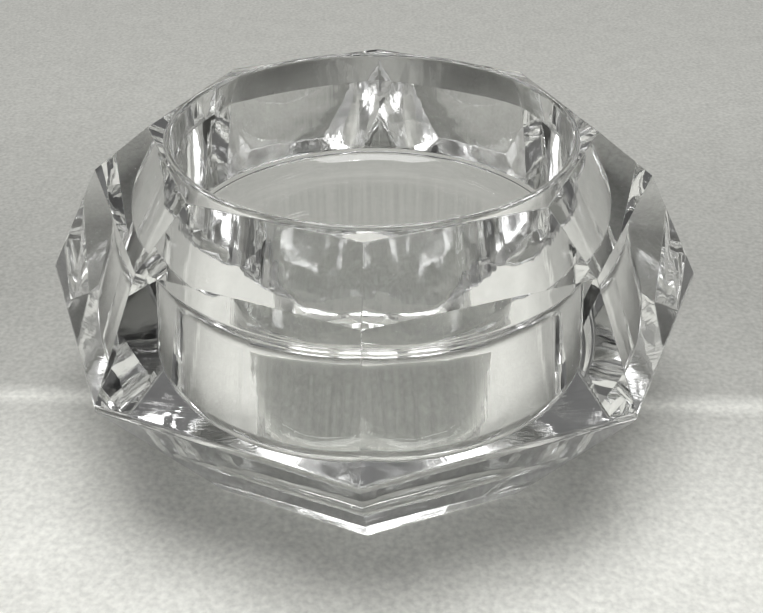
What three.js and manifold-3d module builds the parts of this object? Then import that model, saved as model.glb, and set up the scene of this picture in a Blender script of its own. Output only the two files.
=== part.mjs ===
// Crystal votive holder: one thick-walled piece of clear glass.
// Outside: three tiers of eight flat facets between four octagonal rings, with a rounded girdle.
// Inside: a deep round candle well with a ledge part-way down, which opens through a thin round lip.
// Millimetres, +Z up, origin at the centre of the flat base, octagon corners on the X and Y axes.

import * as THREE from 'three';
import { mergeVertices } from 'three/addons/utils/BufferGeometryUtils.js';
import Module from 'manifold-3d';

const wasm = await Module();
wasm.setup();

// Candle well and lip
const mouthDiameter = 46;
const ledgeDiameter = 47.4; // the well widens a little on its way down to the ledge
const ledgeDepth = 13.8; // from the rim's land to the outer corner of the ledge
const ledgeFall = 1.2; // how much lower the ledge's inner edge is
const ledgeCornerRounding = 0.6;
const ledgeEdgeRounding = 4;
const lowerWellDiameter = 42.4;
const floorThickness = 8.5;
const wellFloorRounding = 3;
const lipThickness = 0.8;
const lipRise = 0.4; // from the rim's land to the lip's crest

// Facets, measured along a corner ridge: how far each tier runs inwards or outwards, and how tall it is
const leastRimLand = 0.25; // from the lip's foot to the middle of a rim edge
const upperTierRun = 6.87;
const upperTierHeight = 5.5;
const middleTierRun = 7.1;
const middleTierHeight = 13.8;
const lowerTierRun = 14.8;
const lowerTierHeight = 20.3;

// Rounded edges
const rimRounding = 0.3;
const girdleRounding = 1.2;
const baseRounding = 0.4;

// Smoothness
const sides = 8;
const roundSegments = 96;
const stepsPerArc = 5;

// Worked out from the sizes above
const cornerPerFlat = 1 / Math.cos( Math.PI / sides ); // corner radius over flat radius of the octagon
const mouthRadius = mouthDiameter / 2;
const lipOuterRadius = mouthRadius + lipThickness;
const rimCornerRadius = ( lipOuterRadius + leastRimLand ) * cornerPerFlat;
const shoulderCornerRadius = rimCornerRadius + upperTierRun;
const girdleCornerRadius = shoulderCornerRadius + middleTierRun;
const baseCornerRadius = girdleCornerRadius - lowerTierRun;
const girdleHeight = lowerTierHeight;
const shoulderHeight = girdleHeight + middleTierHeight;
const rimHeight = shoulderHeight + upperTierHeight;
const crestHeight = rimHeight + lipRise;
const ledgeHeight = rimHeight - ledgeDepth;

// Points of an arc about a centre, angles in degrees from the outward direction
function arc( centreRadius, centreHeight, radius, fromAngle, toAngle, steps = stepsPerArc ) {

	const points = [];

	for ( let i = 0; i <= steps; i ++ ) {

		const angle = THREE.MathUtils.degToRad( fromAngle + ( toAngle - fromAngle ) * i / steps );
		points.push( new THREE.Vector2(
			centreRadius + radius * Math.cos( angle ),
			centreHeight + radius * Math.sin( angle )
		) );

	}

	return points;

}

// Replaces the sharp corner of an outline by an arc that touches both of its sides
function roundedCorner( before, corner, after, radius, steps = stepsPerArc ) {

	const inward = before.clone().sub( corner ).normalize();
	const onward = after.clone().sub( corner ).normalize();
	const halfAngle = Math.acos( inward.dot( onward ) ) / 2;
	const bisector = inward.clone().add( onward ).normalize();
	const centre = corner.clone().addScaledVector( bisector, radius / Math.sin( halfAngle ) );
	const start = corner.clone().addScaledVector( inward, radius / Math.tan( halfAngle ) ).sub( centre );
	const turn = Math.sign( onward.cross( inward ) ) * ( Math.PI - 2 * halfAngle );
	const points = [];

	for ( let i = 0; i <= steps; i ++ ) {

		points.push( start.clone().rotateAround( new THREE.Vector2(), turn * i / steps ).add( centre ) );

	}

	return points;

}

// A closed lathe body, with its shared vertices merged and its empty triangles on the axis left out
function turnedSolid( outline, segments ) {

	const lathe = new THREE.LatheGeometry( outline, segments );
	lathe.deleteAttribute( 'normal' );
	lathe.deleteAttribute( 'uv' );
	const merged = mergeVertices( lathe );
	const corners = merged.index.array;
	const triangles = [];

	for ( let i = 0; i < corners.length; i += 3 ) {

		const [ a, b, c ] = corners.subarray( i, i + 3 );
		if ( a !== b && b !== c && c !== a ) triangles.push( a, b, c );

	}

	return new wasm.Manifold( new wasm.Mesh( {
		numProp: 3,
		vertProperties: merged.attributes.position.array,
		triVerts: new Uint32Array( triangles )
	} ) );

}

// The eight-sided outside, from the middle of the base to the middle of the rim
function facetedBlock() {

	const baseCentre = new THREE.Vector2( 0, 0 );
	const baseCorner = new THREE.Vector2( baseCornerRadius, 0 );
	const girdleCorner = new THREE.Vector2( girdleCornerRadius, girdleHeight );
	const shoulderCorner = new THREE.Vector2( shoulderCornerRadius, shoulderHeight );
	const rimCorner = new THREE.Vector2( rimCornerRadius, rimHeight );
	const rimCentre = new THREE.Vector2( 0, rimHeight );

	return turnedSolid( [
		baseCentre,
		...roundedCorner( baseCentre, baseCorner, girdleCorner, baseRounding, 3 ),
		...roundedCorner( baseCorner, girdleCorner, shoulderCorner, girdleRounding ),
		shoulderCorner,
		...roundedCorner( shoulderCorner, rimCorner, rimCentre, rimRounding, 3 ),
		rimCentre
	], sides );

}

// The round lip is a half-round bead: this disc gives its outer half and is rooted in the block
function lipDisc() {

	const beadRadius = lipThickness / 2;
	const root = rimHeight - ledgeDepth / 2;

	return turnedSolid( [
		new THREE.Vector2( 0, root ),
		new THREE.Vector2( lipOuterRadius, root ),
		...arc( lipOuterRadius - beadRadius, crestHeight - beadRadius, beadRadius, 0, 90 ),
		new THREE.Vector2( 0, crestHeight )
	], roundSegments );

}

// The well's own shape, from the middle of its floor up, which also rounds the inner half of the lip
function wellCutter() {

	const beadRadius = lipThickness / 2;
	const beadHeight = crestHeight - beadRadius;
	const above = crestHeight + lipThickness;
	const floorCentre = new THREE.Vector2( 0, floorThickness );
	const floorCorner = new THREE.Vector2( lowerWellDiameter / 2, floorThickness );
	const ledgeEdge = new THREE.Vector2( lowerWellDiameter / 2, ledgeHeight - ledgeFall );
	const ledgeCorner = new THREE.Vector2( ledgeDiameter / 2, ledgeHeight );
	const mouth = new THREE.Vector2( mouthRadius, beadHeight );

	return turnedSolid( [
		floorCentre,
		...roundedCorner( floorCentre, floorCorner, ledgeEdge, wellFloorRounding ),
		...roundedCorner( floorCorner, ledgeEdge, ledgeCorner, ledgeEdgeRounding ),
		...roundedCorner( ledgeEdge, ledgeCorner, mouth, ledgeCornerRounding, 3 ),
		...arc( mouthRadius + beadRadius, beadHeight, beadRadius, 180, 90 ),
		new THREE.Vector2( mouthRadius + beadRadius, above ),
		new THREE.Vector2( 0, above )
	], roundSegments );

}

function crystalBody() {

	const solid = facetedBlock().add( lipDisc() ).subtract( wellCutter() ).getMesh();
	const geometry = new THREE.BufferGeometry();
	geometry.setAttribute( 'position', new THREE.BufferAttribute( solid.vertProperties, 3 ) );
	geometry.setIndex( new THREE.BufferAttribute( solid.triVerts, 1 ) );
	geometry.rotateX( Math.PI / 2 ); // the lathe's axis is Y, the holder stands along Z
	geometry.computeVertexNormals();

	const clearCrystal = new THREE.MeshStandardMaterial( {
		color: 0xf1f4f1,
		roughness: 0.03,
		metalness: 0,
		transparent: true,
		opacity: 0.35,
		flatShading: true
	} );

	const mesh = new THREE.Mesh( geometry, clearCrystal );
	mesh.name = 'crystal_body';
	return mesh;

}

const holder = new THREE.Group();
holder.add( crystalBody() );

export default holder;
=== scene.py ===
import math

import bmesh
import bpy
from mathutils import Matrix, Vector


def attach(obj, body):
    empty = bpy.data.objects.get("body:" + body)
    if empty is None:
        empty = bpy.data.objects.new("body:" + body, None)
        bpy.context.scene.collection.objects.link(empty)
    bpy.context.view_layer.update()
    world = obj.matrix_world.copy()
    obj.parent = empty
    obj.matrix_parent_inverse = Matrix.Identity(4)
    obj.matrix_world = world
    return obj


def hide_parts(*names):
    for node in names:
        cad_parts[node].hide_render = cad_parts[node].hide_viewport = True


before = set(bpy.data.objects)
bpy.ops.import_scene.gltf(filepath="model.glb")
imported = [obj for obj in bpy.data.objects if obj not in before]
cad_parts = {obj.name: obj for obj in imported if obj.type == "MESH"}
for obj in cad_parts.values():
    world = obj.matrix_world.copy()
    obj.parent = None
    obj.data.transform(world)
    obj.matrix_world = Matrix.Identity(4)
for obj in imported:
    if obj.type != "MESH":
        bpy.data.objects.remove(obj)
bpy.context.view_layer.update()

MM = 0.001

# Candle well and lip, in metres like everything below
MOUTH_RADIUS = 23 * MM
LEDGE_RADIUS = 23.7 * MM
LEDGE_DEPTH = 13.8 * MM
LEDGE_FALL = 1.2 * MM
LEDGE_CORNER_ROUNDING = 0.6 * MM
LEDGE_EDGE_ROUNDING = 4 * MM
LOWER_WELL_RADIUS = 21.2 * MM
FLOOR_THICKNESS = 8.5 * MM
WELL_FLOOR_ROUNDING = 3 * MM
LIP_THICKNESS = 0.8 * MM
LIP_RISE = 0.4 * MM

# Facets, measured along a corner ridge
LEAST_RIM_LAND = 0.25 * MM
UPPER_TIER_RUN = 6.87 * MM
UPPER_TIER_HEIGHT = 5.5 * MM
MIDDLE_TIER_RUN = 7.1 * MM
MIDDLE_TIER_HEIGHT = 13.8 * MM
LOWER_TIER_RUN = 14.8 * MM
LOWER_TIER_HEIGHT = 20.3 * MM

# Rounded edges
RIM_ROUNDING = 0.3 * MM
GIRDLE_ROUNDING = 1.2 * MM
BASE_ROUNDING = 0.4 * MM
RIDGE_ROUNDING = 0.05 * MM

# Smoothness
SIDES = 8
ROUND_STEPS = 192
GIRDLE_STEPS = 14
EDGE_STEPS = 8
RIDGE_STEPS = 4
LEAST_FACET_AREA = 20 * MM * MM
SHORT_END = 0.1 * MM
LONG_RUN = 10 * SHORT_END
MORE_THAN_VERTICES = 100000

# How near two measures are taken for the same
SAME_HEIGHT = 1e-7
SAME_PLANE = 1e-9

# Worked out from the sizes above
CORNER_PER_FLAT = 1 / math.cos(math.pi / SIDES)
LIP_OUTER_RADIUS = MOUTH_RADIUS + LIP_THICKNESS
RIM_CORNER = (LIP_OUTER_RADIUS + LEAST_RIM_LAND) * CORNER_PER_FLAT
SHOULDER_CORNER = RIM_CORNER + UPPER_TIER_RUN
GIRDLE_CORNER = SHOULDER_CORNER + MIDDLE_TIER_RUN
BASE_CORNER = GIRDLE_CORNER - LOWER_TIER_RUN
GIRDLE_HEIGHT = LOWER_TIER_HEIGHT
SHOULDER_HEIGHT = GIRDLE_HEIGHT + MIDDLE_TIER_HEIGHT
RIM_HEIGHT = SHOULDER_HEIGHT + UPPER_TIER_HEIGHT
CREST_HEIGHT = RIM_HEIGHT + LIP_RISE
LEDGE_HEIGHT = RIM_HEIGHT - LEDGE_DEPTH

# Crystal finish: clear glass, with a darker streaked wall low in the well
CRYSTAL_IOR = 1.52
CRYSTAL_COLOUR = (0.985, 0.99, 0.98, 1)
CRYSTAL_SMUDGE_COLOUR = (0.95, 0.955, 0.94, 1)
# The wall low in the well is tinted darker, most along its streaks.
DARK_WALL_COLOUR = (0.66, 0.665, 0.65, 1)
DARK_WALL_MARGIN = 0.5 * MM
LEAST_WALL_DARKENING = 0.5
STREAKS_START = 0.3
STREAKS_FULL = 0.7
STREAKS_AROUND = 28
STREAK_STRETCH = 2
STREAK_DEPTH = 0.02 * MM
RIPPLE_SIZE = 7 * MM
RIPPLE_DEPTH = 0.12 * MM
WAVE_SIZE = 16 * MM
WAVE_DEPTH = 0.15 * MM
SMUDGE_SIZE = 9 * MM
SMUDGES_START = 0.55
SMUDGES_FULL = 0.8
SMUDGE_ROUGHNESS = 0.02

# Cloth, with its grey levels from the front (0) to the back (1) of the reach around the holder. The levels
# are painted light and shade: a painted band of light just in front of the holder, the fold as a painted
# lit crest with painted shade on both sides, and painted shade behind the fold.
CLOTH_HALF_WIDTH = 1.5
CLOTH_GAP = 0.15 * MM
CLOTH_COLOUR = (0.84, 0.84, 0.79, 1)
CLOTH_REACH = 200 * MM
CLOTH_FRONT_PAINTED_LIGHT = [(0.3, 1), (0.36, 1.05), (0.4, 0.95)]
CLOTH_FOLD_PAINTED_LIGHT_AND_SHADE = [(0.49, 0.72), (0.5, 0.95), (0.515, 0.58)]
CLOTH_BEHIND_PAINTED_SHADE = [(0.65, 0.52), (1, 0.64)]
NOISE_MIDDLE = 0.5
NAP_SIZE = 0.7 * MM
NAP_CONTRAST = 0.65
NAP_HEIGHT = 0.1 * MM
MOTTLE_SIZE = 6 * MM
MOTTLE_CONTRAST = 0.14
CREASE_LENGTH = 60 * MM
CREASE_WANDER = 0.01

# The deep shade under the holder and just behind it, painted on the cloth
PAINTED_SHADE_CENTRE = 8 * MM
PAINTED_SHADE_RADIUS = 25 * MM
PAINTED_SHADE_FADES_OUT = 29 * MM
PAINTED_SHADE_SHARE = 0.35

# Room, with its grey levels from the horizon (0) to overhead (1)
ROOM_LEVELS = [(0, 0.08), (0.5, 0.12), (0.75, 0.2), (1, 0.4)]
ROOM_STRENGTH = 1
DARK_SIDE_ELEVATION = math.radians(30)
DARK_SIDE = Vector((0, -math.cos(DARK_SIDE_ELEVATION), math.sin(DARK_SIDE_ELEVATION)))
DARK_SIDE_FULL = math.radians(26)
DARK_SIDE_FADES_OUT = math.radians(42)
DARK_SIDE_SHARE = 0.97

# Lamps, each with its azimuth, elevation and distance seen from the holder
SOFTBOX_PLACE = (-90, 84, 0.9)
SOFTBOX_SIZE = 0.6
SOFTBOX_RADIANCE = 6
STRIP_PLACE = (91, 38, 0.9)
STRIP_WIDTH = 0.3
STRIP_HEIGHT = 0.08
STRIP_RADIANCE = 10
GLINT_PLACE = (-70, 66, 1.2)
GLINT_SIZE = 0.06
GLINT_RADIANCE = 40
LAMP_AIM = Vector((0, 0, GIRDLE_HEIGHT))

# Camera, with its lens and sensor in millimetres
CAMERA_PLACE = Vector((3.93, -119.54, 93.64)) * MM
CAMERA_AIM = Vector((1.09, 0, 15.22)) * MM
CAMERA_LENS = 53.07
CAMERA_SENSOR = 36
NEAREST_SEEN = 1 * MM

# The most turns that a path of light may take
DEEPEST_PATH = 32


def arc(centre, radius, from_angle, to_angle, steps=EDGE_STEPS):
    """Points of an arc in the plane of radius and height. Its angles are in degrees, and 0 is outwards."""
    angles = [math.radians(from_angle + (to_angle - from_angle) * i / steps) for i in range(steps + 1)]
    return [Vector((centre[0] + radius * math.cos(a), centre[1] + radius * math.sin(a))) for a in angles]


def rounded_corner(before, corner, after, radius, steps=EDGE_STEPS):
    """The arc that touches both sides of a corner of the outline."""
    inward = (before - corner).normalized()
    onward = (after - corner).normalized()
    half_angle = inward.angle(onward) / 2
    centre = corner + (inward + onward).normalized() * (radius / math.sin(half_angle))
    start = corner + inward * (radius / math.tan(half_angle)) - centre
    turn = math.copysign(math.pi - 2 * half_angle, -start.orthogonal().dot(inward))
    points = []
    for i in range(steps + 1):
        angle = turn * i / steps
        turned = start * math.cos(angle) + start.orthogonal() * math.sin(angle)
        points.append(centre + turned)
    return points


def spin_outline(bm, outline, steps):
    """Spins a chain of (radius, height) points once round the Z axis. Returns its first and last rings."""
    chain = [bm.verts.new((radius, 0, height)) for radius, height in outline]
    links = [bm.edges.new(pair) for pair in zip(chain, chain[1:])]
    bmesh.ops.spin(
        bm, geom=chain + links, cent=(0, 0, 0), axis=(0, 0, 1), angle=math.tau, steps=steps, use_merge=True
    )
    return ring_through(chain[0]), ring_through(chain[-1])


def ring_through(vert):
    """The level open edges that go round at the height of this vertex."""
    height = vert.co.z
    ring = []
    reached = [vert]
    while reached:
        here = reached.pop()
        for edge in here.link_edges:
            level = abs(edge.other_vert(here).co.z - height) < SAME_HEIGHT
            if edge.is_boundary and level and edge not in ring:
                ring.append(edge)
                reached.append(edge.other_vert(here))
    return ring


def is_ridge(edge):
    """True for an edge that runs up the outline, in a plane through the axis."""
    low, high = (v.co for v in edge.verts)
    return abs(low.x * high.y - low.y * high.x) < SAME_PLANE and abs(low.z - high.z) > SAME_HEIGHT


def faceted_outside(bm):
    """The eight-sided outside, open at the rim. Returns the rim's open edges."""
    base_centre = Vector((0, 0))
    base_corner = Vector((BASE_CORNER, 0))
    girdle_corner = Vector((GIRDLE_CORNER, GIRDLE_HEIGHT))
    shoulder_corner = Vector((SHOULDER_CORNER, SHOULDER_HEIGHT))
    rim_corner = Vector((RIM_CORNER, RIM_HEIGHT))
    rim_centre = Vector((0, RIM_HEIGHT))
    base_ring, rim_ring = spin_outline(
        bm,
        [
            *rounded_corner(base_centre, base_corner, girdle_corner, BASE_ROUNDING),
            *rounded_corner(base_corner, girdle_corner, shoulder_corner, GIRDLE_ROUNDING, GIRDLE_STEPS),
            shoulder_corner,
            *rounded_corner(shoulder_corner, rim_corner, rim_centre, RIM_ROUNDING),
        ],
        SIDES,
    )
    bmesh.ops.edgeloop_fill(bm, edges=base_ring)
    bmesh.ops.bevel(
        bm,
        geom=[edge for edge in bm.edges if is_ridge(edge)],
        offset=RIDGE_ROUNDING,
        offset_type="OFFSET",
        segments=RIDGE_STEPS,
        profile=0.5,
        affect="EDGES",
        material=-1,
    )
    for face in bm.faces:
        face.smooth = face.calc_area() < LEAST_FACET_AREA
    return [edge for edge in bm.edges if edge.is_boundary]


def with_short_ends(outline):
    """Adds a point near both ends of each long run, so that the shading is true along the rest of it."""
    points = [outline[0]]
    for before, after in zip(outline, outline[1:]):
        run = after - before
        if run.length > LONG_RUN:
            points += [before + run.normalized() * SHORT_END, after - run.normalized() * SHORT_END]
        points.append(after)
    return points


def round_inside(bm):
    """The well, its ledge and the lip, open at the lip's foot. Returns the foot's open edges."""
    bead_radius = LIP_THICKNESS / 2
    bead_height = CREST_HEIGHT - bead_radius
    floor_centre = Vector((0, FLOOR_THICKNESS))
    floor_corner = Vector((LOWER_WELL_RADIUS, FLOOR_THICKNESS))
    ledge_edge = Vector((LOWER_WELL_RADIUS, LEDGE_HEIGHT - LEDGE_FALL))
    ledge_corner = Vector((LEDGE_RADIUS, LEDGE_HEIGHT))
    mouth = Vector((MOUTH_RADIUS, bead_height))
    lip_centre = (MOUTH_RADIUS + bead_radius, bead_height)
    lean = math.degrees(math.atan2(LEDGE_RADIUS - MOUTH_RADIUS, bead_height - LEDGE_HEIGHT))
    foot_angle = math.degrees(math.asin((RIM_HEIGHT - bead_height) / bead_radius))
    outline = [
        *rounded_corner(floor_centre, floor_corner, ledge_edge, WELL_FLOOR_ROUNDING),
        *rounded_corner(floor_corner, ledge_edge, ledge_corner, LEDGE_EDGE_ROUNDING),
        *rounded_corner(ledge_edge, ledge_corner, mouth, LEDGE_CORNER_ROUNDING),
        *arc(lip_centre, bead_radius, 180 + lean, foot_angle, 2 * EDGE_STEPS),
    ]
    floor_ring, foot_ring = spin_outline(bm, with_short_ends(outline), ROUND_STEPS)
    bmesh.ops.edgeloop_fill(bm, edges=floor_ring)
    return foot_ring


def face_number(face):
    """A number of its own for each face, made of its three lowest vertex numbers."""
    low, middle, high = sorted(vert.index for vert in face.verts)[:3]
    return (low * MORE_THAN_VERTICES + middle) * MORE_THAN_VERTICES + high


def crystal_shape():
    """The whole holder as one closed surface, with its faces sorted: spinning orders them anew each run."""
    bm = bmesh.new()
    rim_ring = faceted_outside(bm)
    outside_faces = set(bm.faces)
    foot_ring = round_inside(bm)
    for face in set(bm.faces) - outside_faces:
        face.smooth = len(face.verts) == 4
    shaped_faces = set(bm.faces)
    bmesh.ops.triangle_fill(bm, edges=rim_ring + foot_ring, normal=(0, 0, 1), use_beauty=True)
    for face in set(bm.faces) - shaped_faces:
        face.smooth = False
    bmesh.ops.recalc_face_normals(bm, faces=bm.faces[:])
    bm.verts.index_update()
    bm.faces.sort(key=face_number)
    mesh = bpy.data.meshes.new("crystal_body_polished")
    bm.to_mesh(mesh)
    bm.free()
    piece = bpy.data.objects.new("crystal_body_polished", mesh)
    bpy.context.scene.collection.objects.link(piece)
    return piece


class Nodes:
    """The nodes of one material or world, all added in the same way."""

    def __init__(self, tree):
        self.tree = tree

    def add(self, kind, settings=None, values=None, output=0):
        """Adds a node, sets it up, feeds its sockets and returns one of its outputs."""
        node = self.tree.nodes.new(kind)
        for name, value in (settings or {}).items():
            if name == "stops":
                set_stops(node.color_ramp, value)
            else:
                setattr(node, name, value)
        for name, value in (values or {}).items():
            self.feed(node.inputs[name], value)
        return Wire(self, node.outputs[output])

    def feed(self, socket, value):
        """Links a wire to the socket, or writes a plain value on it."""
        if isinstance(value, Wire):
            self.tree.links.new(value.socket, socket)
        else:
            socket.default_value = value

    def split(self, vector):
        """The three parts of a vector."""
        node = self.tree.nodes.new("ShaderNodeSeparateXYZ")
        self.feed(node.inputs[0], vector)
        return [Wire(self, part) for part in node.outputs]

    def mixed(self, first, second, share, blend="MIX"):
        """Two colours in one, with the second at this share."""
        settings = {"data_type": "RGBA", "blend_type": blend}
        return self.add("ShaderNodeMix", settings, {0: share, 6: first, 7: second}, output=2)

    def eased(self, value, start, end):
        """Goes smoothly from 0 to 1 while the value goes from start to end."""
        values = {"Value": value, "From Min": start, "From Max": end}
        return self.add("ShaderNodeMapRange", {"interpolation_type": "SMOOTHSTEP"}, values)

    def noise(self, place, scale, detail=2):
        """Smooth noise around the middle of 0 to 1."""
        values = {"Vector": place, "Scale": scale, "Detail": detail}
        return self.add("ShaderNodeTexNoise", {"noise_dimensions": "3D"}, values)


class Wire:
    """The output of a node. Each sum that it takes part in adds a Math node."""

    def __init__(self, nodes, socket):
        self.nodes = nodes
        self.socket = socket

    def sum(self, operation, *values):
        """The wire that comes out of one Math node."""
        return self.nodes.add("ShaderNodeMath", {"operation": operation}, dict(enumerate(values)))

    def __add__(self, other):
        return self.sum("ADD", self, other)

    def __radd__(self, other):
        return self.sum("ADD", other, self)

    def __sub__(self, other):
        return self.sum("SUBTRACT", self, other)

    def __rsub__(self, other):
        return self.sum("SUBTRACT", other, self)

    def __mul__(self, other):
        return self.sum("MULTIPLY", self, other)

    def __truediv__(self, other):
        return self.sum("DIVIDE", self, other)

    def __pow__(self, other):
        return self.sum("POWER", self, other)

    def __lt__(self, other):
        return self.sum("LESS_THAN", self, other)


def set_stops(ramp, stops):
    """Gives a colour ramp its stops, each a place and a grey level."""
    while len(ramp.elements) > 1:
        ramp.elements.remove(ramp.elements[-1])
    for number, (place, level) in enumerate(stops):
        stop = ramp.elements.new(place) if number else ramp.elements[0]
        stop.position = place
        stop.color = (level, level, level, 1)


def new_finish(name):
    """A material with its nodes and its main shader."""
    material = bpy.data.materials.new(name)
    material.use_nodes = True
    return material, Nodes(material.node_tree), material.node_tree.nodes["Principled BSDF"]


def clear_crystal():
    """Polished crystal: wavy all over, faintly smudged, with a darker streaked wall low in the well."""
    material, nodes, shader = new_finish("clear crystal")
    place = nodes.add("ShaderNodeTexCoord", output="Object")
    x, y, z = nodes.split(place)
    radius = (x * x + y * y) ** 0.5
    inside = radius < LIP_OUTER_RADIUS
    turned = {"X": x / radius, "Y": y / radius, "Z": z * STREAK_STRETCH}
    streaks = nodes.noise(nodes.add("ShaderNodeCombineXYZ", values=turned), STREAKS_AROUND, detail=3)
    ripples = nodes.noise(place, 1 / RIPPLE_SIZE)
    waves = nodes.noise(place, 1 / WAVE_SIZE, detail=0)
    relief = inside * (streaks * STREAK_DEPTH + ripples * RIPPLE_DEPTH) + waves * WAVE_DEPTH
    bump = nodes.add("ShaderNodeBump", values={"Height": relief, "Strength": 1, "Distance": 1})
    smudges = nodes.eased(nodes.noise(place, 1 / SMUDGE_SIZE, detail=4), SMUDGES_START, SMUDGES_FULL)
    tint = nodes.mixed(CRYSTAL_COLOUR, CRYSTAL_SMUDGE_COLOUR, smudges)
    wall_top = LEDGE_HEIGHT - LEDGE_FALL
    above_floor = nodes.eased(z, FLOOR_THICKNESS, FLOOR_THICKNESS + WELL_FLOOR_ROUNDING)
    below_ledge = 1 - nodes.eased(z, wall_top - LEDGE_EDGE_ROUNDING, wall_top)
    lower_wall = above_floor * below_ledge * (radius < LOWER_WELL_RADIUS + DARK_WALL_MARGIN)
    streaked = nodes.eased(streaks, STREAKS_START, STREAKS_FULL)
    wall_darkening = lower_wall * (LEAST_WALL_DARKENING + streaked * (1 - LEAST_WALL_DARKENING))
    nodes.feed(shader.inputs["Base Color"], nodes.mixed(tint, DARK_WALL_COLOUR, wall_darkening))
    nodes.feed(shader.inputs["Roughness"], smudges * SMUDGE_ROUGHNESS)
    nodes.feed(shader.inputs["Normal"], bump)
    shader.inputs["Transmission Weight"].default_value = 1
    shader.inputs["IOR"].default_value = CRYSTAL_IOR
    return material


def pale_cloth():
    """Short-napped cloth with a fold drawn in painted light and shade, a painted band of light in front,
    painted shade behind the fold and painted shade under the holder.
    """
    material, nodes, shader = new_finish("pale cloth")
    place = nodes.add("ShaderNodeTexCoord", output="Object")
    x, y = nodes.split(place)[:2]
    nap = nodes.noise(place, 1 / NAP_SIZE, detail=4)
    mottle = nodes.noise(place, 1 / MOTTLE_SIZE)
    bends = nodes.noise(place, 1 / CREASE_LENGTH, detail=1)
    wandering = y / CLOTH_REACH + 0.5 + (bends - NOISE_MIDDLE) * CREASE_WANDER
    # The ramp paints light and shade: a band of light in front, the fold's lit crest and shaded sides, and
    # shade behind the fold.
    levels = CLOTH_FRONT_PAINTED_LIGHT + CLOTH_FOLD_PAINTED_LIGHT_AND_SHADE + CLOTH_BEHIND_PAINTED_SHADE
    shade = nodes.add("ShaderNodeValToRGB", {"stops": levels}, {"Fac": wandering})
    colour = nodes.mixed(CLOTH_COLOUR, shade, 1, "MULTIPLY")
    # Painted shade on the cloth under the holder and just behind it.
    back = y - PAINTED_SHADE_CENTRE
    painted_shade = 1 - nodes.eased((x * x + back * back) ** 0.5, PAINTED_SHADE_RADIUS, PAINTED_SHADE_FADES_OUT)
    level = 1 + (nap - NOISE_MIDDLE) * NAP_CONTRAST + (mottle - NOISE_MIDDLE) * MOTTLE_CONTRAST
    level = level * (1 - painted_shade * PAINTED_SHADE_SHARE)
    nodes.feed(shader.inputs["Base Color"], nodes.mixed(colour, level, 1, "MULTIPLY"))
    bump = nodes.add("ShaderNodeBump", values={"Height": nap * NAP_HEIGHT, "Strength": 1, "Distance": 1})
    nodes.feed(shader.inputs["Normal"], bump)
    shader.inputs["Roughness"].default_value = 1
    shader.inputs["Specular IOR Level"].default_value = 0
    return material


def cloth_floor():
    """The cloth, a flat sheet just under the holder."""
    bm = bmesh.new()
    bmesh.ops.create_grid(bm, x_segments=1, y_segments=1, size=CLOTH_HALF_WIDTH)
    bmesh.ops.translate(bm, verts=bm.verts[:], vec=(0, 0, -CLOTH_GAP))
    mesh = bpy.data.meshes.new("cloth_floor")
    bm.to_mesh(mesh)
    bm.free()
    floor = bpy.data.objects.new("cloth_floor", mesh)
    bpy.context.scene.collection.objects.link(floor)
    floor.data.materials.append(pale_cloth())
    return floor


def studio_world():
    """A plain room, brighter overhead and dark on the camera's side, which draws wedges in the glass."""
    world = bpy.data.worlds.new("studio")
    bpy.context.scene.world = world
    world.use_nodes = True
    nodes = Nodes(world.node_tree)
    direction = nodes.add("ShaderNodeTexCoord", output="Generated")
    x, y, z = nodes.split(direction)
    room = nodes.add("ShaderNodeValToRGB", {"stops": ROOM_LEVELS}, {"Fac": z})
    towards = x * DARK_SIDE.x + y * DARK_SIDE.y + z * DARK_SIDE.z
    dark = nodes.eased(towards, math.cos(DARK_SIDE_FADES_OUT), math.cos(DARK_SIDE_FULL))
    lit = 1 - dark * DARK_SIDE_SHARE
    background = world.node_tree.nodes["Background"]
    nodes.feed(background.inputs["Color"], nodes.mixed(room, lit, 1, "MULTIPLY"))
    background.inputs["Strength"].default_value = ROOM_STRENGTH


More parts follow.
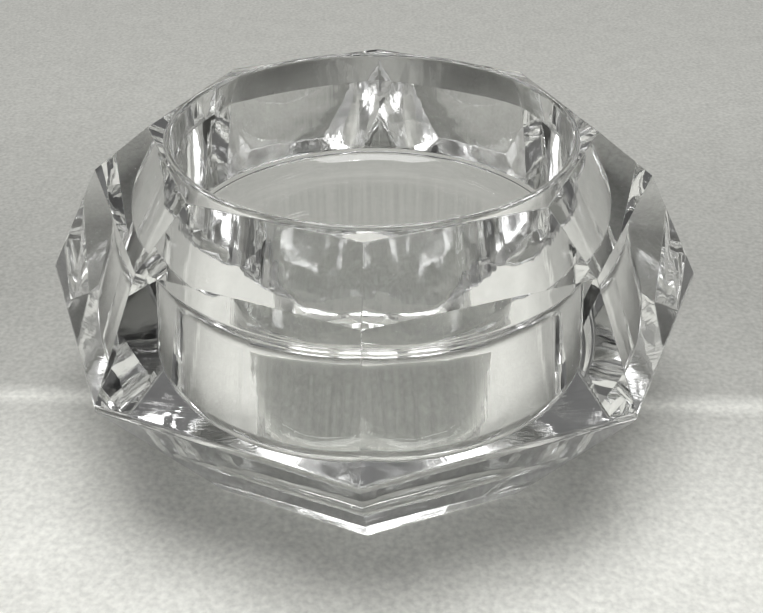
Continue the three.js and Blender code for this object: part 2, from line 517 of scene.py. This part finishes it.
def soft_lamp(name, place, width, height, radiance, on_cloth=True):
    """A flat lamp that faces the holder. Without on_cloth, it lights the cloth only by way of the glass."""
    data = bpy.data.lights.new(name, "AREA")
    data.shape = "RECTANGLE"
    data.size = width
    data.size_y = height
    data.energy = radiance * math.pi * width * height
    lamp = bpy.data.objects.new(name, data)
    bpy.context.scene.collection.objects.link(lamp)
    lamp.location = around_holder(*place)
    lamp.rotation_mode = "QUATERNION"
    lamp.rotation_quaternion = (LAMP_AIM - lamp.location).to_track_quat("-Z", "Y")
    lamp.visible_diffuse = on_cloth


def around_holder(azimuth, elevation, distance):
    """A place seen from the holder, with its azimuth in degrees from the right towards the back."""
    azimuth, elevation = math.radians(azimuth), math.radians(elevation)
    level = distance * math.cos(elevation)
    return Vector((level * math.cos(azimuth), level * math.sin(azimuth), distance * math.sin(elevation)))


def studio_lamps():
    """Only the softbox lights the bare cloth. The other two are there for their highlights in the glass."""
    soft_lamp("softbox overhead", SOFTBOX_PLACE, SOFTBOX_SIZE, SOFTBOX_SIZE, SOFTBOX_RADIANCE)
    soft_lamp("low strip behind", STRIP_PLACE, STRIP_WIDTH, STRIP_HEIGHT, STRIP_RADIANCE, on_cloth=False)
    soft_lamp("small lamp overhead", GLINT_PLACE, GLINT_SIZE, GLINT_SIZE, GLINT_RADIANCE, on_cloth=False)


def photo_camera():
    """The camera that was fitted to the photograph."""
    data = bpy.data.cameras.new("photo camera")
    data.sensor_width = CAMERA_SENSOR
    data.lens = CAMERA_LENS
    data.clip_start = NEAREST_SEEN
    camera = bpy.data.objects.new("photo camera", data)
    bpy.context.scene.collection.objects.link(camera)
    camera.location = CAMERA_PLACE
    camera.rotation_mode = "QUATERNION"
    camera.rotation_quaternion = (CAMERA_AIM - CAMERA_PLACE).to_track_quat("-Z", "Y")
    bpy.context.scene.camera = camera


def deep_glass_paths():
    """Light turns back inside cut glass many times before it leaves, so its paths aren't cut short."""
    cycles = bpy.context.scene.cycles
    cycles.sample_clamp_indirect = 0
    cycles.max_bounces = DEEPEST_PATH
    cycles.glossy_bounces = DEEPEST_PATH
    cycles.transmission_bounces = DEEPEST_PATH


crystal_body = crystal_shape()
crystal_body.data.materials.append(clear_crystal())
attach(crystal_body, "root")
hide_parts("crystal_body")

cloth_floor()
studio_world()
studio_lamps()
photo_camera()
deep_glass_paths()
bpy.context.scene.view_settings.view_transform = "Standard"
